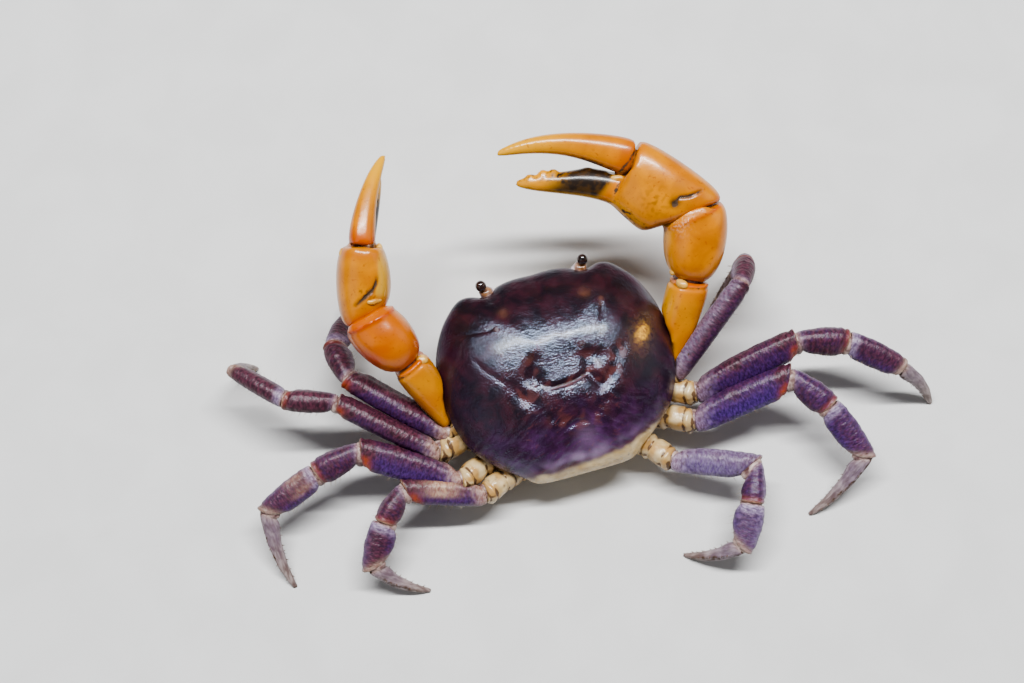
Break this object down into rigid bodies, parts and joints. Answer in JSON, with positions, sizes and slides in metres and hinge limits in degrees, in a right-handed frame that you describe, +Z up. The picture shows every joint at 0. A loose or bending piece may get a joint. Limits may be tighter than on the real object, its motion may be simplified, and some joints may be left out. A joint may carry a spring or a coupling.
{
  "type": "land crab model",
  "caption": "Small land crab at life size, standing on its walking legs with both claws raised: glossy purple back shell, unequal orange claws, violet legs with pale joints.",
  "frame": {"origin": "on the floor, under the middle of the bounding box", "axes": "+Y the way the crab faces, +X its right side, +Z up"},
  "size_m": [0.107, 0.0692, 0.0309],
  "materials": {
    "back_shell": "glossy dark purple shell",
    "claw_shell": "glossy amber orange shell",
    "leg_shell": "satin violet shell, paler at the joints",
    "pale_shell": "cream shell with brown dirt in its folds",
    "eye": "wet black"
  },
  "bodies": {
    "root": {"carapace": "back_shell", "underside": "pale_shell", "abdomen": "pale_shell", "right_maxilliped": "pale_shell", "right_eyestalk": "pale_shell", "right_eye": "eye", "right_claw_base": "pale_shell", "right_claw_merus": "claw_shell", "right_claw_carpus": "claw_shell", "right_claw_palm": "claw_shell", "right_claw_finger": "claw_shell", "right_leg1_base": "pale_shell", "right_leg1_merus": "leg_shell", "right_leg1_carpus": "leg_shell", "right_leg1_propodus": "leg_shell", "right_leg1_dactyl": "leg_shell", "right_leg2_base": "pale_shell", "right_leg2_merus": "leg_shell", "right_leg2_carpus": "leg_shell", "right_leg2_propodus": "leg_shell", "right_leg2_dactyl": "leg_shell", "right_leg3_base": "pale_shell", "right_leg3_merus": "leg_shell", "right_leg3_carpus": "leg_shell", "right_leg3_propodus": "leg_shell", "right_leg3_dactyl": "leg_shell", "right_leg4_base": "pale_shell", "right_leg4_merus": "leg_shell", "right_leg4_carpus": "leg_shell", "right_leg4_propodus": "leg_shell", "right_leg4_dactyl": "leg_shell", "left_maxilliped": "pale_shell", "left_eyestalk": "pale_shell", "left_eye": "eye", "left_claw_base": "pale_shell", "left_claw_merus": "claw_shell", "left_claw_carpus": "claw_shell", "left_claw_palm": "claw_shell", "left_claw_finger": "claw_shell", "left_leg1_base": "pale_shell", "left_leg1_merus": "leg_shell", "left_leg1_carpus": "leg_shell", "left_leg1_propodus": "leg_shell", "left_leg1_dactyl": "leg_shell", "left_leg2_base": "pale_shell", "left_leg2_merus": "leg_shell", "left_leg2_carpus": "leg_shell", "left_leg2_propodus": "leg_shell", "left_leg2_dactyl": "leg_shell", "left_leg3_base": "pale_shell", "left_leg3_merus": "leg_shell", "left_leg3_carpus": "leg_shell", "left_leg3_propodus": "leg_shell", "left_leg3_dactyl": "leg_shell", "left_leg4_base": "pale_shell", "left_leg4_merus": "leg_shell", "left_leg4_carpus": "leg_shell", "left_leg4_propodus": "leg_shell", "left_leg4_dactyl": "leg_shell"}
  },
  "joints": []
}
